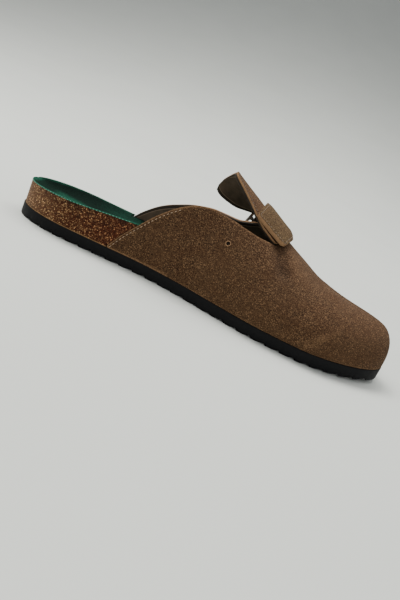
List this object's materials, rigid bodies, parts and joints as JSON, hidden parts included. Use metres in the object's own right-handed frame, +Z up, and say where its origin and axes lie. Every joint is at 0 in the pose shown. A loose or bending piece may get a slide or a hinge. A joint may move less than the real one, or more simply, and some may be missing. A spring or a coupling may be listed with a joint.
{
  "type": "clog slipper",
  "caption": "Backless clog slipper for the left foot: suede upper with a buckled instep strap, cork footbed and a ribbed flat outsole.",
  "frame": {"origin": "on the floor, under the middle of the shoe's box", "axes": "+X from the heel to the toe, +Y to the outer side of the foot, +Z up"},
  "size_m": [0.2798, 0.11, 0.0883],
  "materials": {
    "black_rubber": "matte moulded rubber",
    "cork": "pressed cork granules, sealed, dull",
    "green_suede": "napped suede",
    "taupe_suede": "fine napped suede",
    "gunmetal": "dark antique plating",
    "tab_leather": "dark split leather"
  },
  "bodies": {
    "root": {"outsole": "black_rubber", "midsole": "cork", "insole": "green_suede", "upper": "taupe_suede", "strap": "taupe_suede", "buckle": "gunmetal", "buckle_prong": "gunmetal", "buckle_tab": "tab_leather"}
  },
  "joints": []
}
